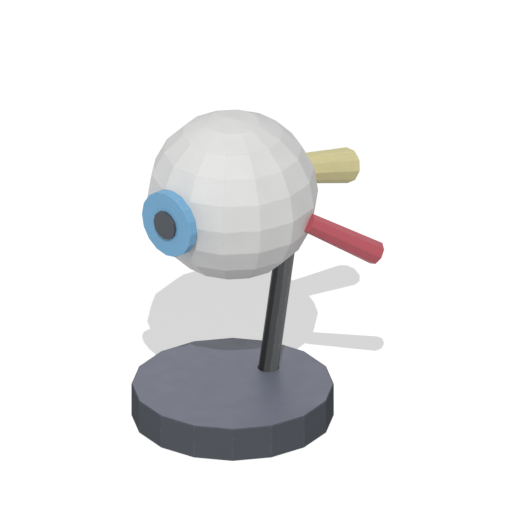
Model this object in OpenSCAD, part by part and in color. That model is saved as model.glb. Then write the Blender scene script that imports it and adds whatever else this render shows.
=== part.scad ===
// Anatomical model of the human eye on a leaning post and a round base, about five times life size.
// Millimetres. +Z is up and the eye looks along -Y. The origin is the centre of the non-slip
// pad's underside, on the table. The outer pieces are moulded with flat facets. The eyeball opens
// along the flat plane Y = 0: its front half, lens and vitreous body pull forward, along the gaze.

/* [Eyeball] */
// Radius of the eyeball at the corners of its facets
eyeball_r = 60; // [56:1:66]
// Height of the eyeball's centre above the table
eyeball_z = 173; // [160:1:190]
// Facets round the eyeball's equator, an odd number in each half
eyeball_segments = 14; // [14:4:22]
// Bands of facets from the lowest point to the highest
eyeball_bands = 10; // [8:2:14]
// Thickness of the white shell at the corners of its facets
sclera_wall = 7; // [6.5:0.5:8]

/* [Linings] */
// Thickness of the dark choroid lining
choroid_wall = 1.5; // [1:0.1:2]
// Thickness of the retina lining
retina_wall = 1; // [0.8:0.1:1.5]
// How far the retina reaches in front of the split
retina_reach = 18; // [10:1:24]
// Gap between the vitreous body and the retina
vitreous_gap = 0.4; // [0.3:0.1:0.8]

/* [Lens and ciliary ring] */
// Radius of the lens at its rim
lens_r = 22; // [19:0.5:23]
// Thickness of the lens at its rim
lens_rim = 1.6; // [1.2:0.1:2.4]
// Bulge of the lens in front of its rim
lens_front_bulge = 7; // [5:0.5:8]
// Bulge of the lens behind its rim
lens_rear_bulge = 9.5; // [7:0.5:11]
// Distance of the lens's rim plane behind the eyeball's corner radius
lens_depth = 25; // [23:0.5:26]
// Width of the ring of suspensory fibres round the lens
zonule_width = 5.3; // [4:0.1:6]
// Thickness of the ring of suspensory fibres
zonule_wall = 0.8; // [0.6:0.1:1.2]
// Number of ciliary folds round the lens
ciliary_folds = 36; // [24:4:48]
// Height of a ciliary fold
ciliary_fold_height = 2; // [1:0.5:2.5]
// Length of the ciliary ring along the gaze
ciliary_length = 11; // [9:0.5:12]

/* [Iris and pupil] */
// Radius of the iris disc at its corners
iris_r = 24; // [22:0.5:27]
// Thickness of the iris disc
iris_wall = 7.2; // [5:0.1:9]
// Radius of the iris disc's plug, which fits the eyeball's front opening
plug_r = 16.9; // [15:0.1:18]
// Length of the plug behind the iris disc
plug_length = 8.5; // [7:0.5:9]
// Radius of the hole through the plug
plug_bore_r = 12; // [10:0.5:13]
// Radius of the pupil disc at its corners
pupil_r = 10.5; // [9.5:0.1:12]
// How far the pupil disc stands in front of the iris disc
pupil_wall = 2; // [1:0.1:3]
// Radius of the pupil disc's stem
pupil_stem_r = 8; // [6:0.5:9]
// Length of the pupil disc's stem
pupil_stem_length = 6; // [4:0.5:7]

/* [Optic nerve] */
// Radius of the nerve where it meets the eyeball
nerve_root_r = 10; // [8:0.1:11]
// Radius of the nerve's free end
nerve_end_r = 12.7; // [11:0.1:15]
// Length of the nerve from its root inside the shell's surface
nerve_length = 62; // [45:1:75]
// Angle of the nerve below the horizontal
nerve_drop = 17; // [15:0.5:20]
// Depth of the nerve's root below the shell's corners
nerve_sink = 6.3; // [5:0.1:6.5]
// Height of the nerve's root above the eyeball's centre
nerve_rise = 0.4; // [0:0.1:2]

/* [Rectus muscle] */
// Radius of the muscle where it meets the eyeball
muscle_root_r = 7.1; // [6:0.1:8]
// Radius of the muscle's free end
muscle_end_r = 8.5; // [7:0.1:10]
// Length of the muscle
muscle_length = 63; // [45:0.5:75]
// Angle of the muscle round the vertical, from +X towards +Y
muscle_turn = 69.8; // [64:0.1:76]
// Angle of the muscle below the horizontal
muscle_drop = 33.9; // [29:0.1:38]
// Angle of the muscle's attachment round the vertical, from +X
attachment_turn = 21; // [17:0.1:25]
// Angle of the muscle's attachment below the equator
attachment_drop = 9.8; // [7:0.1:13]
// Depth of the attachment's centre below the shell's corners
attachment_sink = 1.5; // [1.2:0.1:2.5]

/* [Dowels and halves' fittings] */
// Radius of the dowel in the nerve
nerve_dowel_r = 3; // [2:0.1:3.5]
// Radius of the dowel in the muscle
muscle_dowel_r = 2.2; // [1.5:0.1:2.4]
// Wall of the muscle's root beside its dowel
muscle_dowel_wall = 0.9; // [0.8:0.1:1.2]
// Length of either dowel inside its nerve or muscle
dowel_grip = 16; // [10:1:22]
// Radius of the locating pegs between the halves
peg_r = 1.5; // [1:0.1:1.7]
// Length of a peg in each half
peg_depth = 5; // [4:0.5:7]
// Radius of the closing magnets
magnet_r = 2; // [1.5:0.1:2.1]
// Thickness of the closing magnets
magnet_wall = 3; // [2:0.5:4]

/* [Post] */
// Radius of the post at its corners
post_r = 7.1; // [6.6:0.1:7.5]
// Sides of the post
post_sides = 10; // [8:2:12]
// Angle by which the post leans back
post_lean = 10.7; // [8:0.1:13]
// Turn of the post's facets about its own axis
post_facet_turn = 0; // [0:0.5:35.5]
// Distance of the post's axis behind the eyeball's corner radius
post_offset = 2.2; // [2:0.1:4]
// Depth of the socket in the base
socket_depth = 11; // [9:0.5:12]
// Radius of the swivel pin on the post's top
pin_r = 4; // [3.5:0.1:4.2]
// Length of the swivel pin
pin_length = 18; // [16:0.5:20]
// Largest swivel to either side
swivel_limit = 40; // [10:1:45]

/* [Post bracket] */
// Radius of the bracket's barrel round the swivel pin
barrel_r = 9.5; // [9:0.1:10.5]
// Length of the bracket's barrel
barrel_length = 29; // [27:0.5:32]
// Distance from the barrel's top down to the axis's nearest point to the eyeball's centre
barrel_top_drop = 9.5; // [8:0.5:12]
// Width of the bracket's pad against the eyeball
saddle_width = 22; // [20:0.5:24]
// Height of the bracket's pad
saddle_height = 17; // [14:0.5:18]
// Wall of the nylon bush round the swivel pin
bush_wall = 1.95; // [1.5:0.05:2.3]
// Thickness of the nylon thrust washer
thrust_wall = 1; // [0.8:0.1:1.5]

/* [Base] */
// Radius of the sixteen-sided base at its corners
base_r = 70.6; // [66:0.2:80]
// Height of the base's top above the table
base_h = 25.3; // [24:0.1:32]
// Side wall of the base
base_wall = 3.5; // [2.5:0.5:5]
// Top wall of the base
base_top = 5; // [4:0.5:6]
// Thickness of the base's cover
cover_wall = 3; // [2.5:0.1:3.5]
// Thickness of the non-slip pad
pad_wall = 1.6; // [1.2:0.1:2.2]
// How far the pad stands below the base's edge
pad_proud = 0.4; // [0.3:0.1:1]
// Radius of the steel ballast plate
ballast_r = 42; // [36:1:43]
// Thickness of the ballast plate
ballast_wall = 9; // [5:0.5:10]
// Distance of the ballast plate's centre in front of the base's centre
ballast_forward = 8; // [6:0.5:9]
// Distance of the cover's screws from the base's centre
cover_screw_circle = 58; // [57:0.5:59]

/* [Hidden] */
$fn = 96;

white = [0.86, 0.86, 0.86];
blue = [0.36, 0.58, 0.74];
dark_grey = [0.33, 0.35, 0.38];
nerve_yellow = [0.80, 0.77, 0.60];
muscle_red = [0.70, 0.36, 0.38];
blood_brown = [0.36, 0.12, 0.10];
retina_orange = [0.85, 0.52, 0.30];
clear = [0.80, 0.90, 0.95, 0.35];
nylon_white = [0.92, 0.91, 0.86];
post_black = [0.30, 0.31, 0.32];
pad_black = [0.12, 0.12, 0.13];
steel = [0.70, 0.70, 0.72];

// clearances
glue_gap = 0.1;      // between two pieces glued or held in one body
snug_gap = 0.02;     // round a pressed pin, bush or dowel
run_gap = 0.05;      // round a turning pin, and round a plug that pulls out
peg_gap = 0.08;      // round a peg that pulls out
part_gap = 0.4;      // between loose pieces that only lie near each other
loose_gap = 0.3;     // round a screw in its clearance hole, and round a ring in its seat
tip_room = 1;        // beyond a screw's tip or a pin's top
cover_gap = 0.2;     // round the base's cover
over = 1;            // how far a cut runs past the face it opens
chamfer = 0.6;       // on the ends of pins and pegs

// eyeball
half_segments = eyeball_segments / 2;
sclera_in_r = eyeball_r - sclera_wall;
choroid_out_r = sclera_in_r - glue_gap;
choroid_in_r = choroid_out_r - choroid_wall;
retina_out_r = choroid_in_r - glue_gap;
retina_in_r = retina_out_r - retina_wall;
vitreous_r = retina_in_r - vitreous_gap;
facet_edge = eyeball_r * cos(180 / eyeball_segments);  // the equator's facet edge on the gaze
REAR = 0;            // first meridian of the rear half
FRONT = 180;         // first meridian of the front half

// rim of the halves
rim_flat_r = eyeball_r * cos(90 / eyeball_bands);
rim_r = (sclera_in_r + rim_flat_r) / 2;
peg_angles = [45, 165, 285];
magnet_angles = [105, 225, 345];

// the nerve's dowel starts just outside the shell's inner face
nerve_dowel_start = nerve_sink - sclera_wall + 1.2;

// the muscle leans against the shell, so its dowel sits towards the eyeball's centre, out of sight
muscle_sides = 8;
dowel_floor = 0.5;      // shell left below the muscle's dowel
attachment_r = eyeball_r - attachment_sink;
root_turn = attachment_turn - muscle_turn;
root_out = [            // outwards from the eyeball at the attachment, as the muscle's own axes see it
    sin(attachment_drop) * cos(muscle_drop) - cos(attachment_drop) * cos(root_turn) * sin(muscle_drop),
    cos(attachment_drop) * sin(root_turn),
    sin(attachment_drop) * sin(muscle_drop) + cos(attachment_drop) * cos(root_turn) * cos(muscle_drop)
];
root_across = [root_out.x, root_out.y];
muscle_dowel_offset = muscle_root_r * cos(180 / muscle_sides) - muscle_dowel_wall - muscle_dowel_r;
muscle_dowel_reach = attachment_r * norm(root_across) - muscle_dowel_offset - muscle_dowel_r;
muscle_dowel_start = sqrt((sclera_in_r + dowel_floor) ^ 2 - muscle_dowel_reach ^ 2)
    - attachment_r * root_out.z;

// lens and its ring, measured forward from the eyeball's centre
lens_forward = eyeball_r - lens_depth;
lens_front_r = (lens_r ^ 2 + lens_front_bulge ^ 2) / (2 * lens_front_bulge);
lens_rear_r = (lens_r ^ 2 + lens_rear_bulge ^ 2) / (2 * lens_rear_bulge);
lens_front_pole = lens_forward + lens_rim / 2 + lens_front_bulge;
lens_rear_pole = lens_forward - lens_rim / 2 - lens_rear_bulge;
zonule_out_r = lens_r + zonule_width;
zonule_front = lens_forward - 0.1;
zonule_rear = zonule_front - zonule_wall;
ciliary_skirt = 2;      // how far the ciliary ring reaches behind the zonule ring
ciliary_lap = 2.3;      // how far its folds reach in over the zonule ring
ciliary_bevel = 3;      // round the front of its bore
ciliary_rear = zonule_rear - ciliary_skirt;
ciliary_front = ciliary_rear + ciliary_length;
ciliary_bore_r = zonule_out_r - ciliary_lap;
vitreous_face = ciliary_rear - 1;

// iris and pupil, measured forward from the eyeball's centre
iris_sides = 16;
iris_back = facet_edge;
iris_front = iris_back + iris_wall;
seat_r = iris_r - 3.5;
opening_r = plug_r + run_gap;
aperture_r = opening_r + part_gap;

// post, measured up its own axis from the base's top
axis_distance = eyeball_r + post_offset;
post_rise = eyeball_z - axis_distance * sin(post_lean) - base_h;
post_foot_y = axis_distance * cos(post_lean) - post_rise * tan(post_lean);
nearest_t = post_rise / cos(post_lean);
barrel_top_t = nearest_t - barrel_top_drop;
barrel_base_t = barrel_top_t - barrel_length;
shoulder_t = barrel_base_t - thrust_wall;
pin_top_t = shoulder_t + pin_length;
bush_length = pin_top_t - barrel_base_t - 0.5;
bush_out_r = pin_r + run_gap + bush_wall;
bore_top_t = pin_top_t + tip_room;

// stop screw in the swivel pin's groove
stop_rise = 8;
stop_t = barrel_base_t + stop_rise;
stop_r = 2;
stop_tip_r = 1.2;
groove_depth = 1.2;
groove_floor_r = pin_r - groove_depth;
stop_tip_y = groove_floor_r + 0.2;
stop_body_y = pin_r + 0.3;
stop_end_y = barrel_r - 0.6;
stop_socket_r = 1.15;
stop_socket_depth = 2;
groove_half_width = stop_tip_r + 0.15;
groove_half_angle = swivel_limit + asin(stop_tip_r / stop_tip_y) + 2;

// screws that hold the bracket to the white shell
bracket_screw_x = 6;
bracket_screw_drop = 5;
bracket_screw_t = barrel_top_t - bracket_screw_drop;
bracket_screw_r = 1.45;
bracket_head_r = 2.75;
bracket_head_h = 1.9;
bracket_screw_reach = 12;
shell_inside_y = sqrt(sclera_in_r ^ 2 - bracket_screw_x ^ 2 - (bracket_screw_t - nearest_t) ^ 2)
    - axis_distance;
bracket_seat_depth = 3;
bracket_seat_y = shell_inside_y + bracket_seat_depth;

// cross slots
slot_length = 3;
slot_width = 0.7;
slot_depth = 1;

// post screw under the base
post_screw_r = 2.9;
post_screw_reach = 17;
post_head_r = 5;
post_head_h = 3.6;
post_head_socket_r = 2.3;
post_head_socket_depth = 2;
post_washer_r = 6.2;
post_washer_wall = 1;
socket_web = 3.5;
socket_boss_r = 12;
socket_floor_t = -socket_depth;
web_base_t = socket_floor_t - socket_web;

// base
base_sides = 16;
side_stretch = 1 / cos(180 / base_sides);
base_inner_r = base_r - base_wall * side_stretch;
cover_r = base_inner_r - cover_gap * side_stretch;
cover_base = pad_wall;
cover_top = cover_base + cover_wall;
ballast_top = cover_top + ballast_wall;
ballast_gap = 2;     // round the post's socket
ceiling = base_h - base_top;
boss_r = 4.5;
clamp_r = 4;
clamp_circle = 28;
clamp_angles = [30, 150, 270];
cover_screw_r = 1.45;
cover_head_r = 3.3;
cover_head_h = cover_head_r - cover_screw_r;
cover_screw_reach = 12;
cover_screw_angles = [45, 135, 225, 315];

// a regular outline with its first corner on +X
function outline(r, sides) = [for (i = [0 : sides - 1]) r * [cos(360 * i / sides), sin(360 * i / sides)]];

// a point on a sphere, by its angle above the equator and its angle round the vertical
function on_sphere(r, up, round) = r * [cos(up) * cos(round), cos(up) * sin(round), sin(up)];

// one half of the faceted eyeball, round its centre, from the meridian `first` on
module faceted_half(first) {
    columns = half_segments + 1;
    top = 1 + (eyeball_bands - 1) * columns;
    function at(band, column) = 1 + (band - 1) * columns + column;
    points = concat(
        [[0, 0, -eyeball_r]],
        [for (band = [1 : eyeball_bands - 1], column = [0 : half_segments])
            on_sphere(eyeball_r, 180 * band / eyeball_bands - 90, first + 360 * column / eyeball_segments)],
        [[0, 0, eyeball_r]]);
    low_cap = [for (c = [0 : half_segments - 1]) [0, at(1, c), at(1, c + 1)]];
    high_cap = [for (c = [0 : half_segments - 1])
        [at(eyeball_bands - 1, c), top, at(eyeball_bands - 1, c + 1)]];
    sides = [for (b = [1 : eyeball_bands - 2], c = [0 : half_segments - 1])
        [at(b, c), at(b + 1, c), at(b + 1, c + 1), at(b, c + 1)]];
    split = concat(
        [0],
        [for (b = [1 : eyeball_bands - 1]) at(b, half_segments)],
        [top],
        [for (b = [eyeball_bands - 1 : -1 : 1]) at(b, 0)]);
    polyhedron(points, concat(low_cap, sides, high_cap, [split]));
}

// a hollow half ball, on the side of the split that `first` names
module lining(outer_r, inner_r, first) {
    reach = outer_r + over;
    intersection() {
        difference() {
            sphere(r = outer_r);
            sphere(r = inner_r);
        }
        translate([-reach, first == REAR ? 0 : -reach, -reach]) cube([2 * reach, reach, 2 * reach]);
    }
}

// what follows is placed about the eyeball's centre, +Z up
module at_eyeball() {
    translate([0, 0, eyeball_z]) children();
}

// what follows has +Z along the gaze, from the eyeball's centre
module on_gaze() {
    at_eyeball() rotate([90, 0, 0]) children();
}

// what follows has +Z along the nerve, from its root
module on_nerve() {
    at_eyeball() translate([0, eyeball_r - nerve_sink, nerve_rise]) rotate([-90 - nerve_drop, 0, 0])
        children();
}

// what follows has +Z along the muscle, from its attachment
module on_muscle() {
    at_eyeball()
        translate(on_sphere(attachment_r, -attachment_drop, attachment_turn))
        rotate([0, 90 + muscle_drop, muscle_turn])
        children();
}

// what follows has +Z along the muscle's dowel, from the level of the attachment
module on_muscle_dowel() {
    on_muscle() translate(-muscle_dowel_offset * root_across / norm(root_across)) children();
}

// what follows has +Z up the post and +Y to its rear, from the height t on its axis
module on_post(t) {
    translate([0, post_foot_y, base_h]) rotate([-post_lean, 0, 0]) translate([0, 0, t]) children();
}

// one copy of what follows at each angle of the split's rim, with +Z to the rear
module at_rim(angles) {
    at_eyeball()
        for (a = angles)
            translate([rim_r * cos(a), 0, rim_r * sin(a)]) rotate([-90, 0, 0]) children();
}

module at_cover_screws() {
    for (a = cover_screw_angles)
        translate([cover_screw_circle * cos(a), cover_screw_circle * sin(a), 0]) children();
}

module at_bracket_screws() {
    for (side = [-1, 1])
        on_post(bracket_screw_t) translate([side * bracket_screw_x, 0, 0]) rotate([-90, 0, 0]) children();
}

// a cross slot cut upwards into a screw's head from the height 0
module cross_slot() {
    for (turn = [0, 90])
        rotate(turn) translate([-slot_length / 2, -slot_width / 2, -over])
            cube([slot_length, slot_width, over + slot_depth]);
}

// ---- base and post ----

module base_housing() {
    color(dark_grey) difference() {
        union() {
            difference() {
                translate([0, 0, pad_proud])
                    linear_extrude(base_h - pad_proud) polygon(outline(base_r, base_sides));
                translate([0, 0, pad_proud - over])
                    linear_extrude(ceiling - pad_proud + over) polygon(outline(base_inner_r, base_sides));
            }
            at_cover_screws() translate([0, 0, cover_top]) cylinder(r = boss_r, h = ceiling - cover_top);
            for (a = clamp_angles)
                translate([clamp_circle * cos(a), clamp_circle * sin(a) - ballast_forward, ballast_top])
                    cylinder(r = clamp_r, h = ceiling - ballast_top);
            intersection() {
                on_post(-2 * base_h) cylinder(r = socket_boss_r, h = 2 * base_h);
                translate([-base_r, -base_r, cover_top])
                    cube([2 * base_r, 2 * base_r, base_h - base_top / 2 - cover_top]);
            }
        }
        at_cover_screws() translate([0, 0, cover_top - over])
            cylinder(r = cover_screw_r + snug_gap, h = cover_screw_reach + over);
        on_post(socket_floor_t) rotate(post_facet_turn)
            cylinder(r = post_r + glue_gap, h = 2 * socket_depth, $fn = post_sides);
        on_post(web_base_t - over) cylinder(r = post_screw_r + glue_gap, h = socket_web + 2 * over);
        on_post(web_base_t - base_h) cylinder(r = post_washer_r + tip_room, h = base_h);
    }
}

module base_cover() {
    color(dark_grey) difference() {
        translate([0, 0, cover_base]) linear_extrude(cover_wall) polygon(outline(cover_r, base_sides));
        at_cover_screws() {
            translate([0, 0, cover_base - over])
                cylinder(r = cover_screw_r + loose_gap, h = cover_wall + 2 * over);
            translate([0, 0, cover_base])
                cylinder(r1 = cover_head_r + loose_gap, r2 = cover_screw_r + loose_gap, h = cover_head_h);
            translate([0, 0, cover_base - over]) cylinder(r = cover_head_r + loose_gap, h = over);
        }
    }
}

module cover_screws() {
    color(steel) at_cover_screws() translate([0, 0, cover_base]) difference() {
        union() {
            cylinder(r1 = cover_head_r, r2 = cover_screw_r, h = cover_head_h);
            cylinder(r = cover_screw_r, h = cover_wall + cover_screw_reach - tip_room);
        }
        cross_slot();
    }
}

module base_pad() {
    color(pad_black) linear_extrude(pad_wall - snug_gap)
        polygon(outline(cover_r, base_sides));
}

module ballast_plate() {
    color(steel) difference() {
        translate([0, -ballast_forward, cover_top]) cylinder(r = ballast_r, h = ballast_wall);
        on_post(-2 * base_h) cylinder(r = socket_boss_r + ballast_gap, h = 3 * base_h);
    }
}

module post() {
    body_length = socket_depth + shoulder_t;
    color(post_black) difference() {
        union() {
            on_post(socket_floor_t) rotate(post_facet_turn)
                cylinder(r = post_r, h = body_length, $fn = post_sides);
            on_post(0) rotate_extrude() polygon([
                [0, shoulder_t - over],
                [pin_r, shoulder_t - over],
                [pin_r, pin_top_t - chamfer],
                [pin_r - chamfer, pin_top_t],
                [0, pin_top_t]
            ]);
        }
        on_post(stop_t - groove_half_width) rotate(90 - groove_half_angle)
            rotate_extrude(angle = 2 * groove_half_angle)
            translate([groove_floor_r, 0]) square([groove_depth + over, 2 * groove_half_width]);
        on_post(socket_floor_t - over) cylinder(r = post_screw_r + glue_gap, h = post_screw_reach + over);
    }
}

module post_screw() {
    under_head_t = web_base_t - post_washer_wall - post_head_h;
    tip_t = socket_floor_t + post_screw_reach - tip_room;
    color(steel) on_post(under_head_t) difference() {
        union() {
            cylinder(r = post_head_r, h = post_head_h);
            cylinder(r = post_screw_r, h = tip_t - under_head_t);
        }
        translate([0, 0, -over])
            cylinder(r = post_head_socket_r, h = post_head_socket_depth + over, $fn = 6);
    }
}

module post_washer() {
    color(steel) on_post(web_base_t - post_washer_wall) difference() {
        cylinder(r = post_washer_r, h = post_washer_wall);
        translate([0, 0, -over])
            cylinder(r = post_screw_r + glue_gap, h = post_washer_wall + 2 * over);
    }
}

module thrust_washer() {
    color(nylon_white) on_post(shoulder_t) difference() {
        cylinder(r = post_r * cos(180 / post_sides), h = thrust_wall);
        translate([0, 0, -over]) cylinder(r = pin_r + glue_gap, h = thrust_wall + 2 * over);
    }
}

// ---- rear half of the eyeball, on the swivel ----

module post_bracket() {
    color(white) difference() {
        union() {
            on_post(barrel_base_t) cylinder(r = barrel_r, h = barrel_length);
            on_post(barrel_top_t - saddle_height) translate([-saddle_width / 2, -2 * barrel_r, 0])
                cube([saddle_width, 2 * barrel_r, saddle_height]);
        }
        at_eyeball() faceted_half(REAR);
        on_post(barrel_base_t - over)
            cylinder(r = bush_out_r + snug_gap, h = bore_top_t - barrel_base_t + over);
        on_post(stop_t) rotate([-90, 0, 0]) cylinder(r = stop_r + glue_gap, h = barrel_r + over);
        at_bracket_screws() translate([0, 0, bracket_seat_y])
            cylinder(r = bracket_screw_r + snug_gap, h = bracket_screw_reach);
    }
}

module bracket_screws() {
    color(steel) at_bracket_screws() difference() {
        union() {
            translate([0, 0, bracket_seat_y - bracket_head_h])
                cylinder(r = bracket_head_r, h = bracket_head_h);
            translate([0, 0, bracket_seat_y])
                cylinder(r = bracket_screw_r, h = bracket_screw_reach - tip_room);
        }
        translate([0, 0, bracket_seat_y - bracket_head_h]) cross_slot();
    }
}

module stop_screw() {
    color(steel) on_post(stop_t) rotate([-90, 0, 0]) difference() {
        union() {
            translate([0, 0, stop_tip_y]) cylinder(r = stop_tip_r, h = stop_body_y - stop_tip_y);
            translate([0, 0, stop_body_y]) cylinder(r = stop_r, h = stop_end_y - stop_body_y);
        }
        translate([0, 0, stop_end_y - stop_socket_depth])
            cylinder(r = stop_socket_r, h = stop_socket_depth + over, $fn = 6);
    }
}

module swivel_bush() {
    color(nylon_white) difference() {
        on_post(barrel_base_t) cylinder(r = bush_out_r, h = bush_length);
        on_post(barrel_base_t - over) cylinder(r = pin_r + run_gap, h = bush_length + 2 * over);
        on_post(stop_t) rotate([-90, 0, 0]) cylinder(r = stop_r + glue_gap, h = barrel_r);
    }
}

module sclera_rear() {
    color(white) difference() {
        at_eyeball() faceted_half(REAR);
        at_eyeball() sphere(r = sclera_in_r);
        at_rim(peg_angles) translate([0, 0, -over])
            cylinder(r = peg_r + snug_gap, h = peg_depth + over + part_gap);
        at_rim(magnet_angles) translate([0, 0, -over])
            cylinder(r = magnet_r + snug_gap, h = magnet_wall + over + glue_gap);
        nerve_dowel_hole();
        muscle_dowel_hole();
        at_bracket_screws() {
            translate([0, 0, -axis_distance])
                cylinder(r = bracket_screw_r + glue_gap, h = axis_distance + barrel_r);
            translate([0, 0, bracket_seat_y - sclera_wall])
                cylinder(r = bracket_head_r + glue_gap, h = sclera_wall);
        }
    }
}

module choroid_rear() {
    color(blood_brown) at_eyeball() lining(choroid_out_r, choroid_in_r, REAR);
}

module retina_rear() {
    color(retina_orange) at_eyeball() lining(retina_out_r, retina_in_r, REAR);
}

module nerve_dowel_hole() {
    on_nerve() translate([0, 0, nerve_dowel_start - glue_gap])
        cylinder(r = nerve_dowel_r + snug_gap, h = dowel_grip + sclera_wall + glue_gap + part_gap);
}

module muscle_dowel_hole() {
    on_muscle_dowel() translate([0, 0, muscle_dowel_start - glue_gap])
        cylinder(r = muscle_dowel_r + snug_gap, h = dowel_grip - muscle_dowel_start + glue_gap + part_gap);
}

module optic_nerve() {
    color(nerve_yellow) difference() {
        on_nerve() cylinder(r1 = nerve_root_r, r2 = nerve_end_r, h = nerve_length, $fn = 10);
        at_eyeball() faceted_half(REAR);
        nerve_dowel_hole();
    }
}

module nerve_dowel() {
    color(steel) on_nerve() translate([0, 0, nerve_dowel_start])
        cylinder(r = nerve_dowel_r, h = dowel_grip + sclera_wall);
}

module rectus_muscle() {
    color(muscle_red) difference() {
        on_muscle() cylinder(r1 = muscle_root_r, r2 = muscle_end_r, h = muscle_length, $fn = muscle_sides);
        at_eyeball() faceted_half(REAR);
        muscle_dowel_hole();
    }
}

module muscle_dowel() {
    color(steel) on_muscle_dowel() translate([0, 0, muscle_dowel_start])
        cylinder(r = muscle_dowel_r, h = dowel_grip - muscle_dowel_start);
}

module locating_pegs() {
    color(steel) at_rim(peg_angles) {
        translate([0, 0, chamfer - peg_depth]) cylinder(r = peg_r, h = 2 * peg_depth - chamfer);
        translate([0, 0, -peg_depth]) cylinder(r1 = peg_r - chamfer, r2 = peg_r, h = chamfer);
    }
}

module rear_magnets() {
    color(steel) at_rim(magnet_angles) translate([0, 0, glue_gap]) cylinder(r = magnet_r, h = magnet_wall);
}

// ---- front half of the eyeball ----

module sclera_front() {
    color(white) difference() {
        union() {
            at_eyeball() faceted_half(FRONT);
            on_gaze() translate([0, 0, sclera_in_r - over])
                cylinder(r = seat_r, h = iris_back - sclera_in_r + over);
        }
        at_eyeball() sphere(r = sclera_in_r);
        on_gaze() cylinder(r = opening_r, h = eyeball_r + over);
        at_rim(peg_angles) translate([0, 0, -peg_depth - part_gap])
            cylinder(r = peg_r + peg_gap, h = peg_depth + part_gap + over);
        at_rim(magnet_angles) translate([0, 0, -magnet_wall - 2 * glue_gap])
            cylinder(r = magnet_r + snug_gap, h = magnet_wall + 2 * glue_gap + over);
    }
}

module choroid_front() {
    color(blood_brown) difference() {
        at_eyeball() lining(choroid_out_r, choroid_in_r, FRONT);
        on_gaze() cylinder(r = aperture_r, h = eyeball_r);
    }
}

module retina_front() {
    color(retina_orange) difference() {
        at_eyeball() lining(retina_out_r, retina_in_r, FRONT);
        on_gaze() translate([0, 0, retina_reach]) cylinder(r = eyeball_r, h = eyeball_r);
    }
}

// the bore of the ciliary ring, with one notch between two folds
function fold_outline() = [
    for (i = [0 : 4 * ciliary_folds - 1])
        let (inside = i % 4 < 2, angle = 360 * (i - 0.5) / (4 * ciliary_folds))
        (ciliary_bore_r + (inside ? 0 : ciliary_fold_height)) * [cos(angle), sin(angle)]
];

module ciliary_ring() {
    color(blood_brown) on_gaze() difference() {
        intersection() {
            rotate_extrude() polygon([
                [ciliary_bore_r, zonule_front],
                [ciliary_bore_r, ciliary_rear],
                [eyeball_r, ciliary_rear],
                [eyeball_r, ciliary_front],
                [ciliary_bore_r + ciliary_bevel, ciliary_front],
                [ciliary_bore_r, ciliary_front - ciliary_bevel]
            ]);
            sphere(r = choroid_in_r - glue_gap);
        }
        translate([0, 0, ciliary_rear - over]) linear_extrude(ciliary_length + 2 * over)
            polygon(fold_outline());
        translate([0, 0, ciliary_rear - over])
            cylinder(r = zonule_out_r + loose_gap, h = zonule_front - ciliary_rear + over);
    }
}

module front_magnets() {
    color(steel) at_rim(magnet_angles) translate([0, 0, -magnet_wall - glue_gap])
        cylinder(r = magnet_r, h = magnet_wall);
}

// ---- iris, pupil, lens and vitreous body ----

module iris_ring() {
    color(blue) on_gaze() difference() {
        union() {
            translate([0, 0, iris_back]) linear_extrude(iris_wall) polygon(outline(iris_r, iris_sides));
            translate([0, 0, iris_back - plug_length]) cylinder(r = plug_r, h = plug_length + over);
        }
        translate([0, 0, iris_back - plug_length - over]) cylinder(r = plug_bore_r, h = plug_length + over);
        cylinder(r = pupil_stem_r + snug_gap, h = iris_front + over);
    }
}

module pupil_disc() {
    color(dark_grey) on_gaze() {
        translate([0, 0, iris_front]) cylinder(r = pupil_r, h = pupil_wall, $fn = 12);
        translate([0, 0, iris_front - pupil_stem_length])
            cylinder(r = pupil_stem_r, h = pupil_stem_length + pupil_wall / 2);
    }
}

module lens() {
    color(clear) on_gaze() intersection() {
        translate([0, 0, lens_front_pole - lens_front_r]) sphere(r = lens_front_r);
        translate([0, 0, lens_rear_pole + lens_rear_r]) sphere(r = lens_rear_r);
        cylinder(r = lens_r, h = eyeball_r);
    }
}

module zonule_ring() {
    color(clear) on_gaze() translate([0, 0, zonule_rear]) difference() {
        cylinder(r = zonule_out_r, h = zonule_wall);
        translate([0, 0, -over]) cylinder(r = lens_r + snug_gap, h = zonule_wall + 2 * over);
    }
}

module vitreous_body() {
    color(clear) on_gaze() difference() {
        sphere(r = vitreous_r);
        translate([0, 0, vitreous_face]) cylinder(r = eyeball_r, h = eyeball_r);
        translate([0, 0, lens_rear_pole + lens_rear_r]) sphere(r = lens_rear_r + part_gap);
    }
}

base_housing();
base_cover();
cover_screws();
base_pad();
ballast_plate();
post();
post_screw();
post_washer();
thrust_washer();
post_bracket();
bracket_screws();
stop_screw();
swivel_bush();
sclera_rear();
choroid_rear();
retina_rear();
optic_nerve();
nerve_dowel();
rectus_muscle();
muscle_dowel();
locating_pegs();
rear_magnets();
sclera_front();
choroid_front();
retina_front();
ciliary_ring();
front_magnets();
iris_ring();
pupil_disc();
lens();
zonule_ring();
vitreous_body();
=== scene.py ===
"""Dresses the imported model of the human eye: moulded plastic, painted retina, clear parts and studio.

Lengths are metres in the model's own frame: +Z is up and the eye looks along -Y.
"""

import logging
import math
import random
from collections.abc import Sequence
from dataclasses import dataclass, field
from enum import Enum

import bmesh
import bpy
from mathutils import Matrix, Vector


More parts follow.
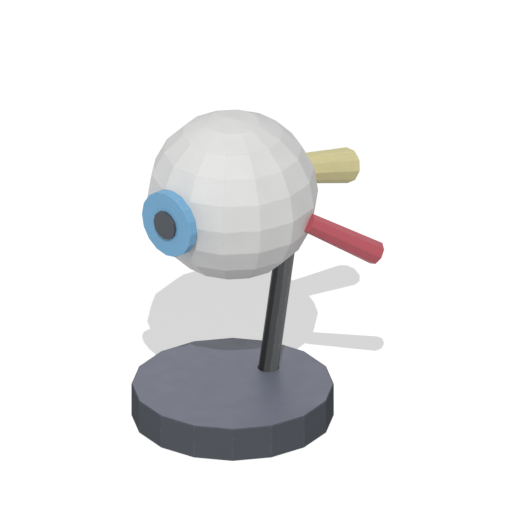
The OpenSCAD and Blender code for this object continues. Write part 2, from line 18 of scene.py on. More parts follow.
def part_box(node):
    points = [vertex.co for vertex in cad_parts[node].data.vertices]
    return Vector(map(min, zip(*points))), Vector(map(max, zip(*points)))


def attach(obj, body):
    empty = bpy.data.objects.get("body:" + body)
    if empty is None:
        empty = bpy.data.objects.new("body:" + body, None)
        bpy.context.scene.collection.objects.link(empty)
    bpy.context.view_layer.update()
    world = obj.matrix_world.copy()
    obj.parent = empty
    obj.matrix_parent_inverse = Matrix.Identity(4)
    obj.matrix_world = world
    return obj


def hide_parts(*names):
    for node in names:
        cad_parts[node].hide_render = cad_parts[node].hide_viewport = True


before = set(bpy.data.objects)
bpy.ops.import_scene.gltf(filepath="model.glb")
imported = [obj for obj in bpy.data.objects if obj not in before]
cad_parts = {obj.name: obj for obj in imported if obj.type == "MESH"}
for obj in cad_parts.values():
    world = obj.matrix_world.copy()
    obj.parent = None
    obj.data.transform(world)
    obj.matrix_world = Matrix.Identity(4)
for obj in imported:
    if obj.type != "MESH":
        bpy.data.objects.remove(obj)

bpy.context.view_layer.update()

LOG = logging.getLogger("eye_model")
MM = 0.001
EDGE_MASK = "edge_mask"
TUBE_RADIUS = "tube_radius"

Colour = tuple[float, float, float]
Socket = bpy.types.NodeSocket


# ---- measures taken from the frame ----


def eye_centre() -> Vector:
    """The eyeball's centre: on the split plane, at the middle height of the retina's rear half."""
    low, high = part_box("retina_rear")
    return Vector((0.0, 0.0, (low[2] + high[2]) / 2))


EYE_CENTRE = eye_centre()


def eye_direction(across: float, above: float) -> Vector:
    """The unit vector from the eyeball's centre to a place on the retina.

    Args:
        across: the angle from the rear towards +X, in degrees.
        above: the angle above the horizontal, in degrees.

    Returns:
        The unit vector.
    """
    a, e = math.radians(across), math.radians(above)
    return Vector((math.sin(a) * math.cos(e), math.cos(a) * math.cos(e), math.sin(e)))


OPTIC_DISC = eye_direction(0.0, 1.7)
MACULA = eye_direction(16.0, -1.5)


def reaches(node: str) -> tuple[float, float]:
    """The least and the greatest distance of a CAD node's corners from the eyeball's centre."""
    distances = [(v.co - EYE_CENTRE).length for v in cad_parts[node].data.vertices]
    return min(distances), max(distances)


def radii(node: str) -> tuple[float, float]:
    """The least and the greatest distance of a CAD node's corners from the line of the gaze."""
    distances = [math.hypot(v.co.x, v.co.z - EYE_CENTRE.z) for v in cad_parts[node].data.vertices]
    return min(distances), max(distances)


def forward_reach(node: str) -> tuple[float, float]:
    """How far forward of the eyeball's centre a CAD node starts and ends."""
    low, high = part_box(node)
    return -high[1], -low[1]


# ---- node trees ----


class Graph:
    """Adds nodes to one shader or geometry tree and links them."""

    def __init__(self, tree: bpy.types.NodeTree) -> None:
        """Takes the tree that is filled."""
        self.tree = tree

    def add(self, kind: str, inputs: dict | None = None, **settings: object) -> bpy.types.Node:
        """Adds one node.

        Args:
            kind: the node's type, such as ShaderNodeMix.
            inputs: a value, or a socket to link, for each input, by its name or its number.
            settings: the node's own properties.

        Returns:
            The new node.
        """
        node = self.tree.nodes.new(kind)
        for name, value in settings.items():
            setattr(node, name, value)
        self.feed(node, inputs or {})
        return node

    def feed(self, node: bpy.types.Node, inputs: dict) -> None:
        """Links or sets inputs of a node.

        Args:
            node: the node.
            inputs: a value, or a socket to link, for each input, by its name or its number.
        """
        for key, value in inputs.items():
            if isinstance(value, Socket):
                self.tree.links.new(value, node.inputs[key])
            else:
                node.inputs[key].default_value = value

    def math(self, operation: str, *values: float | Socket) -> Socket:
        """Adds a Math node and returns its output."""
        return self.add("ShaderNodeMath", dict(enumerate(values)), operation=operation).outputs[0]

    def vector(self, operation: str, *values: Sequence[float] | Socket) -> bpy.types.Node:
        """Adds a Vector Math node and returns it."""
        return self.add("ShaderNodeVectorMath", dict(enumerate(values)), operation=operation)

    def scaled(self, vector: Socket, factor: float | Socket) -> Socket:
        """Adds a Vector Math node that scales a vector or a colour and returns the result."""
        node = self.add("ShaderNodeVectorMath", {0: vector, "Scale": factor}, operation="SCALE")
        return node.outputs[0]

    def mix(self, factor: float | Socket, first: object, second: object) -> Socket:
        """Adds a colour Mix node and returns its colour.

        Args:
            factor: the share of the second colour.
            first: the first colour or socket.
            second: the second colour or socket.

        Returns:
            The mixed colour's socket.
        """
        node = self.add("ShaderNodeMix", {"Factor": factor, 6: first, 7: second}, data_type="RGBA")
        return node.outputs[2]

    def look(self, group: bpy.types.NodeTree, inputs: dict) -> bpy.types.NodeOutputs:
        """Places a shader group.

        Args:
            group: the group.
            inputs: a value, or a socket to link, for each of its inputs.

        Returns:
            The placed group's outputs.
        """
        node = self.add("ShaderNodeGroup", node_tree=group)
        self.feed(node, inputs)
        return node.outputs

    def noise(self, vector: Socket, scale: float | Socket, detail: float) -> Socket:
        """Adds a Noise Texture node and returns its value."""
        inputs = {"Vector": vector, "Scale": scale, "Detail": detail}
        return self.add("ShaderNodeTexNoise", inputs).outputs["Fac"]

    def remap(self, value: Socket, low: float, high: float, to_low: float | Socket = 0.0,
              to_high: float | Socket = 1.0) -> Socket:
        """Adds a clamped Map Range node and returns its result."""
        inputs = {"Value": value, "From Min": low, "From Max": high, "To Min": to_low, "To Max": to_high}
        return self.add("ShaderNodeMapRange", inputs, clamp=True).outputs[0]

    def vector_rotate(self, vector: Socket, angles: Sequence[float]) -> Socket:
        """Adds a Vector Rotate node that turns by Euler angles and returns its vector."""
        node = self.add("ShaderNodeVectorRotate", {"Vector": vector, "Rotation": angles},
                        rotation_type="EULER_XYZ")
        return node.outputs[0]

    def relief(self, shader: bpy.types.Node, height: Socket, distance: float) -> None:
        """Raises a shader's surface by a pattern, on top of the relief that it has.

        Args:
            shader: the material's shader.
            height: the pattern, from 0 to 1.
            distance: how far 1 stands above 0.
        """
        bump = self.add("ShaderNodeBump", {"Height": height, "Strength": 1.0, "Distance": distance})
        for link in shader.inputs["Normal"].links:
            self.feed(bump, {"Normal": link.from_socket})
        self.feed(shader, {"Normal": bump.outputs[0]})


def rgba(colour: Colour) -> tuple[float, float, float, float]:
    """The colour with full opacity, as a colour socket takes it."""
    return (*colour, 1.0)


def new_group(name: str, kind: str, inputs: dict[str, tuple[str, object]], outputs: dict[str, str],
              ) -> tuple[bpy.types.NodeTree, Graph, bpy.types.Node, bpy.types.Node]:
    """Makes an empty node group with named inputs and outputs.

    Args:
        name: the group's name.
        kind: ShaderNodeTree or GeometryNodeTree.
        inputs: the socket type and the default of each input, by its name.
        outputs: the socket type of each output, by its name.

    Returns:
        The group, its graph, its input node and its output node.
    """
    tree = bpy.data.node_groups.new(name, kind)
    for title, (socket_type, default) in inputs.items():
        socket = tree.interface.new_socket(title, in_out="INPUT", socket_type=socket_type)
        if default is not None:
            socket.default_value = default
    for title, socket_type in outputs.items():
        tree.interface.new_socket(title, in_out="OUTPUT", socket_type=socket_type)
    graph = Graph(tree)
    return tree, graph, graph.add("NodeGroupInput"), graph.add("NodeGroupOutput")


FLOAT, COLOUR, VECTOR = "NodeSocketFloat", "NodeSocketColor", "NodeSocketVector"
INTEGER, FINISH, GEOMETRY = "NodeSocketInt", "NodeSocketMaterial", "NodeSocketGeometry"


def fine_grain_group() -> bpy.types.NodeTree:
    """The fine texture of a moulded surface, from 0 to 1, and a broader cloud for its gloss."""
    tree, g, given, result = new_group(
        "fine_grain", "ShaderNodeTree",
        {"Vector": (VECTOR, None), "Grain Size": (FLOAT, 0.6 * MM), "Cloud Size": (FLOAT, 14 * MM)},
        {"Height": FLOAT, "Cloud": FLOAT})
    where = given.outputs["Vector"]
    per_metre = g.math("DIVIDE", 1.0, given.outputs["Grain Size"])
    pits = g.add("ShaderNodeTexVoronoi", {"Vector": where, "Scale": per_metre})
    height = g.math("ADD", g.math("MULTIPLY", pits.outputs["Distance"], 0.4),
                    g.math("MULTIPLY", g.noise(where, per_metre, 3.0), 0.6))
    cloud = g.noise(where, g.math("DIVIDE", 1.0, given.outputs["Cloud Size"]), 4.0)
    g.feed(result, {"Height": height, "Cloud": g.remap(cloud, 0.3, 0.7)})
    return tree


def colour_drift_group() -> bpy.types.NodeTree:
    """A colour that drifts a little lighter and darker over the surface."""
    tree, g, given, result = new_group(
        "colour_drift", "ShaderNodeTree",
        {"Colour": (COLOUR, None), "Vector": (VECTOR, None), "Size": (FLOAT, 25 * MM),
         "Amount": (FLOAT, 0.03)},
        {"Colour": COLOUR})
    noise = g.add("ShaderNodeTexNoise", {
        "Vector": given.outputs["Vector"], "Scale": g.math("DIVIDE", 1.0, given.outputs["Size"]),
        "Detail": 5.0, "Roughness": 0.55})
    darkest = g.math("SUBTRACT", 1.0, given.outputs["Amount"])
    brightest = g.math("ADD", 1.0, given.outputs["Amount"])
    factor = g.remap(noise.outputs["Fac"], 0.3, 0.7, darkest, brightest)
    g.feed(result, {"Colour": g.scaled(given.outputs["Colour"], factor)})
    return tree


def edge_wear_group() -> bpy.types.NodeTree:
    """Rubbed places along the softened edges, which the edge mask marks."""
    tree, g, given, result = new_group(
        "edge_wear", "ShaderNodeTree",
        {"Colour": (COLOUR, None), "Worn Colour": (COLOUR, None), "Edge": (FLOAT, 0.0),
         "Vector": (VECTOR, None), "Amount": (FLOAT, 0.5)},
        {"Colour": COLOUR})
    patches = g.remap(g.noise(given.outputs["Vector"], 160.0, 4.0), 0.42, 0.62)
    on_edges = g.math("MULTIPLY", patches, given.outputs["Edge"])
    mask = g.math("MULTIPLY", on_edges, given.outputs["Amount"])
    worn = g.mix(mask, given.outputs["Colour"], given.outputs["Worn Colour"])
    g.feed(result, {"Colour": worn})
    return tree


class SharedLooks:
    """The shader groups that several finishes place with their own values."""

    def __init__(self) -> None:
        """Builds each group once."""
        self.fine_grain = fine_grain_group()
        self.colour_drift = colour_drift_group()
        self.edge_wear = edge_wear_group()


LOOKS = SharedLooks()


def new_material(name: str) -> tuple[bpy.types.Material, Graph, bpy.types.Node, Socket]:
    """Starts a material.

    Args:
        name: the material's name.

    Returns:
        The material, its graph, its Principled BSDF and the Object coordinates.
    """
    material = bpy.data.materials.new(name)
    material.use_nodes = True
    g = Graph(material.node_tree)
    shader = material.node_tree.nodes["Principled BSDF"]
    place = g.add("ShaderNodeTexCoord").outputs["Object"]
    return material, g, shader, place


# ---- finishes ----


@dataclass(frozen=True)
class Plastic:
    """A moulded plastic with a fine grain, a slight drift in colour and rubbed edges."""

    name: str
    colour: Colour
    roughness: float = 0.5
    shine: float = 0.5
    grain_size: float = 0.5 * MM
    grain_depth: float = 0.012 * MM
    drift: float = 0.03
    worn: Colour | None = None
    wear: float = 0.35

    def material(self) -> bpy.types.Material:
        """Builds the material."""
        material, g, shader, place = new_material(self.name)
        grain = g.look(LOOKS.fine_grain, {"Vector": place, "Grain Size": self.grain_size})
        colour = g.look(LOOKS.colour_drift, {
            "Colour": rgba(self.colour), "Vector": place, "Amount": self.drift})["Colour"]
        if self.worn:
            edge = g.add("ShaderNodeAttribute", attribute_name=EDGE_MASK).outputs["Fac"]
            colour = g.look(LOOKS.edge_wear, {
                "Colour": colour, "Worn Colour": rgba(self.worn), "Edge": edge, "Vector": place,
                "Amount": self.wear})["Colour"]
        rough = g.remap(grain["Cloud"], 0.0, 1.0, self.roughness - 0.05, self.roughness + 0.05)
        g.feed(shader, {"Base Color": colour, "Roughness": rough, "Specular IOR Level": self.shine})
        g.relief(shader, grain["Height"], self.grain_depth)
        return material


@dataclass(frozen=True)
class FibrousPlastic(Plastic):
    """A moulded plastic with faint strands along its own axis, for the nerve and the muscle."""

    turn: float = 90.0
    drop: float = 0.0
    strand_size: float = 1.6 * MM
    strand_depth: float = 0.035 * MM
    strand_tone: float = 0.03

    def along(self, g: Graph, place: Socket) -> Socket:
        """Coordinates with Z along the piece, drawn out so that a pattern on them runs lengthwise."""
        turned = g.vector_rotate(place, (0.0, 0.0, -math.radians(self.turn)))
        level = g.vector_rotate(turned, (0.0, -math.radians(90.0 + self.drop), 0.0))
        return g.add("ShaderNodeMapping", {"Vector": level, "Scale": (1.0, 1.0, 0.04)}).outputs[0]

    def material(self) -> bpy.types.Material:
        """Builds the material: the plain plastic's, with strands over its colour and its relief."""
        material = super().material()
        g = Graph(material.node_tree)
        shader = material.node_tree.nodes["Principled BSDF"]
        place = g.add("ShaderNodeTexCoord").outputs["Object"]
        strands = g.add("ShaderNodeTexNoise", {
            "Vector": self.along(g, place), "Scale": 1.0 / self.strand_size, "Detail": 3.0,
            "Roughness": 0.6}).outputs["Fac"]
        tone = g.remap(strands, 0.3, 0.7, 1.0 - self.strand_tone, 1.0 + self.strand_tone)
        plain = shader.inputs["Base Color"].links[0].from_socket
        g.feed(shader, {"Base Color": g.scaled(plain, tone)})
        g.relief(shader, strands, self.strand_depth)
        return material


@dataclass(frozen=True)
class StreakedPlastic(Plastic):
    """A plastic with streaks that run out from the line of gaze, for the iris and the ciliary body."""

    streak_tone: float = 0.035
    streak_depth: float = 0.03 * MM

    def material(self) -> bpy.types.Material:
        """Builds the material: the plain plastic's, with streaks over its colour and its relief."""
        material = super().material()
        g = Graph(material.node_tree)
        shader = material.node_tree.nodes["Principled BSDF"]
        place = g.add("ShaderNodeTexCoord").outputs["Object"]
        from_centre = g.vector("SUBTRACT", place, EYE_CENTRE).outputs[0]
        outward = g.vector("MULTIPLY", from_centre, (1.0, 0.0, 1.0))
        around = g.vector("NORMALIZE", outward.outputs[0])
        streaks = g.noise(around.outputs[0], 26.0, 2.0)
        tone = g.remap(streaks, 0.3, 0.7, 1.0 - self.streak_tone, 1.0 + self.streak_tone)
        plain = shader.inputs["Base Color"].links[0].from_socket
        g.feed(shader, {"Base Color": g.scaled(plain, tone)})
        g.relief(shader, streaks, self.streak_depth)
        return material


@dataclass(frozen=True)
class RetinaPaint:
    """The hand-painted retina: orange ground, pale optic disc, darker macula and rim."""

    name: str = "retina_orange"
    ground: Colour = (0.60, 0.20, 0.075)
    mottle: Colour = (0.42, 0.095, 0.04)
    disc: Colour = (0.86, 0.66, 0.36)
    macula: Colour = (0.30, 0.055, 0.03)
    front_rim: Colour = (0.33, 0.11, 0.06)
    disc_reach: float = 0.098
    macula_reach: float = 0.17

    def material(self) -> bpy.types.Material:
        """Builds the material."""
        material, g, shader, place = new_material(self.name)
        outward = g.vector("NORMALIZE", g.vector("SUBTRACT", place, EYE_CENTRE).outputs[0]).outputs[0]
        cloud = g.noise(place, 130.0, 6.0)
        specks = g.noise(place, 900.0, 2.0)
        patches = g.math("MULTIPLY", g.remap(cloud, 0.42, 0.68), 0.55)
        colour = g.mix(patches, rgba(self.ground), rgba(self.mottle))
        colour = g.mix(g.remap(specks, 0.5, 0.8, 0.0, 0.35), colour, rgba(self.mottle))
        for spot, reach, fill, tint in ((MACULA, self.macula_reach, 0.75, self.macula),
                                        (OPTIC_DISC, self.disc_reach, 0.9, self.disc)):
            angle = g.math("ARCCOSINE", g.vector("DOT_PRODUCT", outward, spot).outputs["Value"])
            wavy = g.math("ADD", angle, g.remap(cloud, 0.3, 0.7, -0.012, 0.012))
            colour = g.mix(g.remap(wavy, reach, reach * 0.45, 0.0, fill), colour, rgba(tint))
        forward = g.add("ShaderNodeSeparateXYZ", {"Vector": place}).outputs["Y"]
        wavy_edge = g.math("ADD", forward, g.remap(cloud, 0.3, 0.7, -1.5 * MM, 1.5 * MM))
        rim = g.remap(wavy_edge, -9 * MM, -17 * MM, 0.0, 0.8)
        g.feed(shader, {"Base Color": g.mix(rim, colour, rgba(self.front_rim)),
                        "Roughness": g.remap(specks, 0.3, 0.7, 0.34, 0.5)})
        g.relief(shader, specks, 0.02 * MM)
        return material


@dataclass(frozen=True)
class ChoroidPlastic:
    """The dark lining, with the net of vessels that shows in it."""

    name: str = "choroid_brown"
    ground: Colour = (0.115, 0.018, 0.013)
    net: Colour = (0.175, 0.032, 0.022)
    net_size: float = 2.8 * MM
    net_bend: float = 2.4 * MM
    net_rise: float = 0.035 * MM

    def material(self) -> bpy.types.Material:
        """Builds the material."""
        material, g, shader, place = new_material(self.name)
        bends = {"Vector": place, "Scale": 300.0, "Detail": 3.0}
        bent = g.add("ShaderNodeTexNoise", bends).outputs["Color"]
        moved = g.vector("ADD", place, g.scaled(bent, self.net_bend)).outputs[0]
        cells = g.add("ShaderNodeTexVoronoi", {"Vector": moved, "Scale": 1.0 / self.net_size},
                      feature="DISTANCE_TO_EDGE").outputs["Distance"]
        threads = g.remap(cells, 0.2, 0.02)
        g.feed(shader, {"Base Color": g.mix(threads, rgba(self.ground), rgba(self.net)),
                        "Roughness": g.remap(threads, 0.0, 1.0, 0.5, 0.38)})
        g.relief(shader, threads, self.net_rise)
        return material


@dataclass(frozen=True)
class ClearPlastic:
    """Polished clear plastic, with the faint haze of many hands."""

    name: str
    tint: Colour
    roughness: float = 0.03
    bends: float = 1.49

    def material(self) -> bpy.types.Material:
        """Builds the material."""
        material, g, shader, place = new_material(self.name)
        drift = g.look(LOOKS.colour_drift, {
            "Colour": rgba(self.tint), "Vector": place, "Amount": 0.012})
        haze = g.remap(g.noise(place, 90.0, 5.0), 0.45, 0.75, self.roughness, self.roughness + 0.06)
        g.feed(shader, {"Base Color": drift["Colour"], "Roughness": haze, "Transmission Weight": 1.0,
                        "IOR": self.bends})
        return material


@dataclass(frozen=True)
class StuddedRubber:
    """The non-slip pad's rubber, with its grid of small round studs."""

    name: str = "pad_rubber"
    colour: Colour = (0.012, 0.012, 0.013)
    pitch: float = 2.4 * MM
    stud_rise: float = 0.35 * MM
    shine: float = 0.3

    def material(self) -> bpy.types.Material:
        """Builds the material."""
        material, g, shader, place = new_material(self.name)
        dust = g.noise(place, 70.0, 6.0)
        grey = tuple(3.0 * c for c in self.colour)
        dusty = g.mix(g.remap(dust, 0.5, 0.75, 0.0, 0.7), rgba(self.colour), rgba(grey))
        g.feed(shader, {"Base Color": dusty, "Roughness": g.remap(dust, 0.3, 0.7, 0.72, 0.88),
                        "Specular IOR Level": self.shine})
        cell = g.vector("FRACTION", g.scaled(place, 1.0 / self.pitch))
        offset = g.vector("MULTIPLY", g.vector("SUBTRACT", cell.outputs[0], (0.5, 0.5, 0.5)).outputs[0],
                          (1.0, 1.0, 0.0))
        reach = g.vector("LENGTH", offset.outputs[0]).outputs["Value"]
        g.relief(shader, g.remap(reach, 0.34, 0.26), self.stud_rise)
        return material


@dataclass(frozen=True)
class PlatedMetal:
    """A plated or cast metal with fine scratches."""

    name: str
    colour: Colour
    roughness: float = 0.3
    scratch_depth: float = 0.006 * MM

    def material(self) -> bpy.types.Material:
        """Builds the material."""
        material, g, shader, place = new_material(self.name)
        drift = g.look(LOOKS.colour_drift, {
            "Colour": rgba(self.colour), "Vector": place, "Size": 6 * MM})
        stretch = g.add("ShaderNodeMapping", {"Vector": place, "Scale": (1.0, 1.0, 0.05)})
        scratches = g.noise(stretch.outputs[0], 2200.0, 2.0)
        rough = g.remap(scratches, 0.3, 0.7, self.roughness - 0.06, self.roughness + 0.08)
        g.feed(shader, {"Base Color": drift["Colour"], "Roughness": rough, "Metallic": 1.0})
        g.relief(shader, scratches, self.scratch_depth)
        return material


WHITE_SHELL = Plastic("white_shell", (0.74, 0.74, 0.735), roughness=0.62, shine=0.2,
                      worn=(0.62, 0.61, 0.58))
IRIS_BLUE = StreakedPlastic("iris_blue", (0.198, 0.43, 0.66), shine=0.25, worn=(0.34, 0.55, 0.72))
PUPIL_GREY = Plastic("pupil_grey", (0.048, 0.056, 0.07), worn=(0.13, 0.14, 0.155))
NERVE_YELLOW = FibrousPlastic("nerve_yellow", (0.715, 0.654, 0.345), shine=0.1, worn=(0.80, 0.76, 0.52),
                              drop=17.0)
MUSCLE_RED = FibrousPlastic("muscle_red", (0.50, 0.10, 0.125), shine=0.35, worn=(0.62, 0.24, 0.24),
                            turn=69.8, drop=33.9)
BASE_WALL = Plastic("base_grey", (0.097, 0.105, 0.121), roughness=0.8, shine=0.0,
                    worn=(0.15, 0.16, 0.18))
# The deck is the same moulding as the wall. Its lighter, bluer colour is painted light for the top that
# faces the lamps, on a smoother grain.
BASE_DECK_PAINTED_LIGHT = Plastic("base_deck", (0.129, 0.14, 0.185), worn=(0.20, 0.21, 0.24), grain_depth=0.006 * MM)
POST_BLACK = Plastic("post_black", (0.065, 0.067, 0.069), roughness=0.5, shine=0.1,
                     worn=(0.13, 0.13, 0.135), grain_size=0.3 * MM)
CILIARY_BROWN = StreakedPlastic("ciliary_brown", (0.10, 0.02, 0.014), roughness=0.42, drift=0.15,
                                streak_tone=0.3, streak_depth=0.12 * MM)
NYLON = Plastic("nylon", (0.80, 0.78, 0.68), roughness=0.42, drift=0.05)
FROSTED_FIBRES = Plastic("zonule_white", (0.76, 0.74, 0.64), roughness=0.55, grain_size=0.2 * MM,
                         drift=0.06)
CHOROID_BROWN = ChoroidPlastic()
RETINA_ORANGE = RetinaPaint()
STUDDED_RUBBER = StuddedRubber()
CAST_STEEL = PlatedMetal("cast_steel", (0.36, 0.36, 0.37), roughness=0.45, scratch_depth=0.01 * MM)
ZINC_STEEL = PlatedMetal("steel", (0.56, 0.56, 0.57), roughness=0.32)
BRIGHT_NICKEL = PlatedMetal("magnet_nickel", (0.66, 0.64, 0.58), roughness=0.16,
                            scratch_depth=0.002 * MM)
LENS_CLEAR = ClearPlastic("clear_lens", (0.985, 0.985, 0.95))
VITREOUS_CLEAR = ClearPlastic("clear_vitreous", (0.965, 0.985, 0.99), roughness=0.04)
ARTERY_RED = Plastic("artery_red", (0.36, 0.02, 0.012), roughness=0.35, grain_size=0.3 * MM,
                     drift=0.12)
VEIN_RED = Plastic("vein_red", (0.15, 0.008, 0.012), roughness=0.35, grain_size=0.3 * MM, drift=0.12)
DISC_YELLOW = Plastic("disc_yellow", (0.80, 0.60, 0.33), roughness=0.4, grain_size=0.4 * MM, drift=0.08)


# ---- mesh tools ----


def in_scene(name: str, data: bpy.types.ID) -> bpy.types.Object:
    """Makes an object from its data and links it to the scene."""
    thing = bpy.data.objects.new(name, data)
    bpy.context.scene.collection.objects.link(thing)
    return thing


def merged_copy(node: str) -> bmesh.types.BMesh:
    """A CAD node's mesh with its loose triangles merged and its flat faces joined."""
    bm = bmesh.new()
    bm.from_mesh(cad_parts[node].data)
    bmesh.ops.remove_doubles(bm, verts=bm.verts, dist=0.002 * MM)
    bmesh.ops.dissolve_limit(bm, angle_limit=math.radians(0.3), verts=bm.verts, edges=bm.edges)
    bm.normal_update()
    return bm


@dataclass(frozen=True)
class SoftEdge:
    """Which edges of a moulded piece are rounded off, and how far."""

    width: float
    segments: int = 3
    least_angle: float = math.radians(12)
    least_face: float = 9 * MM * MM

    def picks(self, edge: bmesh.types.BMEdge) -> bool:
        """True for an edge between two of the piece's outer facets."""
        if len(edge.link_faces) != 2 or not edge.is_convex:
            return False
        on_split = [abs(f.normal.y) > 0.999 and abs(f.calc_center_median().y) < 0.01 * MM
                    for f in edge.link_faces]
        return (edge.calc_face_angle() > self.least_angle and not any(on_split)
                and min(f.calc_area() for f in edge.link_faces) > self.least_face)


def moulded_piece(name: str, node: str, body: str, slot: str, finish: bpy.types.Material,
                  soft: SoftEdge) -> bpy.types.Object:
    """Makes the soft-edged moulding that stands for one CAD node.

    Args:
        name: the new piece's name.
        node: the CAD node that it replaces.
        body: the CAD body that it moves with.
        slot: the record's material slot; not used.
        finish: the material.
        soft: the edges to round.

    Returns:
        The new object.
    """
    bm = merged_copy(node)
    chosen = [e for e in bm.edges if soft.picks(e)]
    rounded = bmesh.ops.bevel(bm, geom=chosen, offset=soft.width, offset_type="OFFSET",
                              segments=soft.segments, profile=0.5, affect="EDGES", clamp_overlap=True)
    mask = bm.loops.layers.float.new(EDGE_MASK)
    for face in rounded["faces"]:
        for loop in face.loops:
            loop[mask] = 1.0
    mesh = bpy.data.meshes.new(name)
    bm.to_mesh(mesh)
    bm.free()
    mesh.shade_smooth()
    mesh.set_sharp_from_angle(angle=soft.least_angle)
    piece = in_scene(name, mesh)
    piece.data.materials.append(finish)
    even = piece.modifiers.new("even_normals", "WEIGHTED_NORMAL")
    even.keep_sharp = True
    even.weight = 100
    flatten(piece)
    fix_piece(piece, body, slot, node)
    LOG.info("%s: %d edges rounded", name, len(chosen))
    return piece


def flatten(piece: bpy.types.Object) -> None:
    """Turns a piece's modifiers into a plain mesh."""
    bpy.context.view_layer.update()
    seen = piece.evaluated_get(bpy.context.evaluated_depsgraph_get())
    mesh = bpy.data.meshes.new_from_object(seen)
    piece.modifiers.clear()
    piece.data = mesh


def fix_piece(piece: bpy.types.Object, body: str, slot: str, *nodes: str) -> None:
    """Fixes a piece to its CAD body and hides the CAD nodes that it stands for."""
    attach(piece, body)
    if nodes:
        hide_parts(*nodes)
    LOG.info("%s rides on %s", piece.name, body)


GAZE = Matrix.Translation(EYE_CENTRE) @ Matrix.Rotation(math.radians(90), 4, "X")


def turned_mesh(name: str, outline: Sequence[tuple[float, float]], steps: int = 180) -> bpy.types.Mesh:
    """Turns a closed outline round the Z axis.

    Args:
        name: the mesh's name.
        outline: the (radius, height) corners of the section.
        steps: the number of facets round the axis.

    Returns:
        The closed mesh, smooth but for its sharp corners.
    """
    bm = bmesh.new()
    corners = [bm.verts.new((radius, 0.0, height)) for radius, height in outline]
    edges = [bm.edges.new(pair) for pair in zip(corners, corners[1:] + corners[:1])]
    bmesh.ops.spin(bm, geom=corners + edges, angle=math.tau, steps=steps, axis=(0, 0, 1), cent=(0, 0, 0),
                   use_merge=True)
    bmesh.ops.remove_doubles(bm, verts=bm.verts, dist=0.0005 * MM)
    bmesh.ops.dissolve_degenerate(bm, edges=bm.edges, dist=0.0005 * MM)
    bmesh.ops.recalc_face_normals(bm, faces=bm.faces)
    mesh = bpy.data.meshes.new(name)
    bm.to_mesh(mesh)
    bm.free()
    mesh.shade_smooth()
    mesh.set_sharp_from_angle(angle=math.radians(40))
    return mesh


def rib_ring_tree() -> bpy.types.NodeTree:
    """Adds a ring of tapered ribs round the Z axis to the mesh that it is given."""
    tree, g, given, result = new_group(
        "rib_ring", "GeometryNodeTree",
        {"Mesh": (GEOMETRY, None), "Count": (INTEGER, 36), "Start": (VECTOR, None),
         "Middle": (VECTOR, None), "End": (VECTOR, None), "Thickness": (FLOAT, 1 * MM),
         "End Share": (FLOAT, 0.4), "Unevenness": (FLOAT, 0.1), "Offset": (FLOAT, 0.0),
         "Seed": (INTEGER, 1), "Finish": (FINISH, None)},
        {"Mesh": GEOMETRY})
    size = given.outputs
    path = g.add("GeometryNodeCurveQuadraticBezier", {
        "Resolution": 9, "Start": size["Start"], "Middle": size["Middle"], "End": size["End"]})
    along = g.add("GeometryNodeSplineParameter").outputs["Factor"]
    swell = g.math("SQRT", g.math("MAXIMUM", g.math("SINE", g.math("MULTIPLY", along, math.pi)), 0.0))
    share = g.remap(swell, 0.0, 1.0, size["End Share"], 1.0)
    section = g.add("GeometryNodeCurvePrimitiveCircle", {"Resolution": 8, "Radius": size["Thickness"]})
    rib = g.add("GeometryNodeCurveToMesh", {
        "Curve": path.outputs[0], "Profile Curve": section.outputs[0], "Scale": share,
        "Fill Caps": True})
    points = g.add("GeometryNodePoints", {"Count": size["Count"]})
    index = g.add("GeometryNodeInputIndex").outputs[0]
    least = g.math("MULTIPLY", size["Unevenness"], -1.0)
    stray = g.add("FunctionNodeRandomValue", {2: least, 3: size["Unevenness"], "Seed": size["Seed"]},
                  data_type="FLOAT").outputs[1]
    places = g.math("ADD", g.math("ADD", index, size["Offset"]), stray)
    turn = g.math("MULTIPLY", places, g.math("DIVIDE", math.tau, size["Count"]))
    angles = g.add("ShaderNodeCombineXYZ", {"Z": turn})
    ribs = g.add("GeometryNodeInstanceOnPoints", {
        "Points": points.outputs[0], "Instance": rib.outputs[0], "Rotation": angles.outputs[0]})
    return finish_tree(tree, g, result, ribs.outputs[0], size["Mesh"], size["Finish"])


def tube_tree() -> bpy.types.NodeTree:
    """Turns the edges of a mesh into tubes as thick as their points say."""
    tree, g, given, result = new_group(
        "tubes", "GeometryNodeTree",
        {"Mesh": (GEOMETRY, None), "Sides": (INTEGER, 7), "Thickness": (FLOAT, 1.0),
         "Finish": (FINISH, None)},
        {"Mesh": GEOMETRY})
    size = given.outputs
    path = g.add("GeometryNodeMeshToCurve", {"Mesh": size["Mesh"]})
    radius = g.add("GeometryNodeInputNamedAttribute", {"Name": TUBE_RADIUS}, data_type="FLOAT")
    section = g.add("GeometryNodeCurvePrimitiveCircle", {"Resolution": size["Sides"], "Radius": 1.0})
    tube = g.add("GeometryNodeCurveToMesh", {
        "Curve": path.outputs[0], "Profile Curve": section.outputs[0],
        "Scale": g.math("MULTIPLY", radius.outputs[0], size["Thickness"]), "Fill Caps": True})
    return finish_tree(tree, g, result, tube.outputs[0], None, size["Finish"])


def finish_tree(tree: bpy.types.NodeTree, g: Graph, result: bpy.types.Node, grown: Socket,
                kept: Socket | None, finish: Socket) -> bpy.types.NodeTree:
    """Ends a geometry tree: realized, joined with what it was given, smooth, with its material.

    Args:
        tree: the tree.
        g: its graph.
        result: its output node.
        grown: the new geometry.
        kept: the given geometry, where it stays.
        finish: the material.

    Returns:
        The tree.
    """
    whole = g.add("GeometryNodeRealizeInstances", {"Geometry": grown}).outputs[0]
    smooth = g.add("GeometryNodeSetShadeSmooth", {"Geometry": whole}).outputs[0]
    if kept is not None:
        join = g.add("GeometryNodeJoinGeometry", {"Geometry": kept})
        g.feed(join, {0: smooth})
        smooth = join.outputs[0]
    dressed = g.add("GeometryNodeSetMaterial", {"Geometry": smooth, "Material": finish}).outputs[0]
    g.feed(result, {"Mesh": dressed})
    return tree


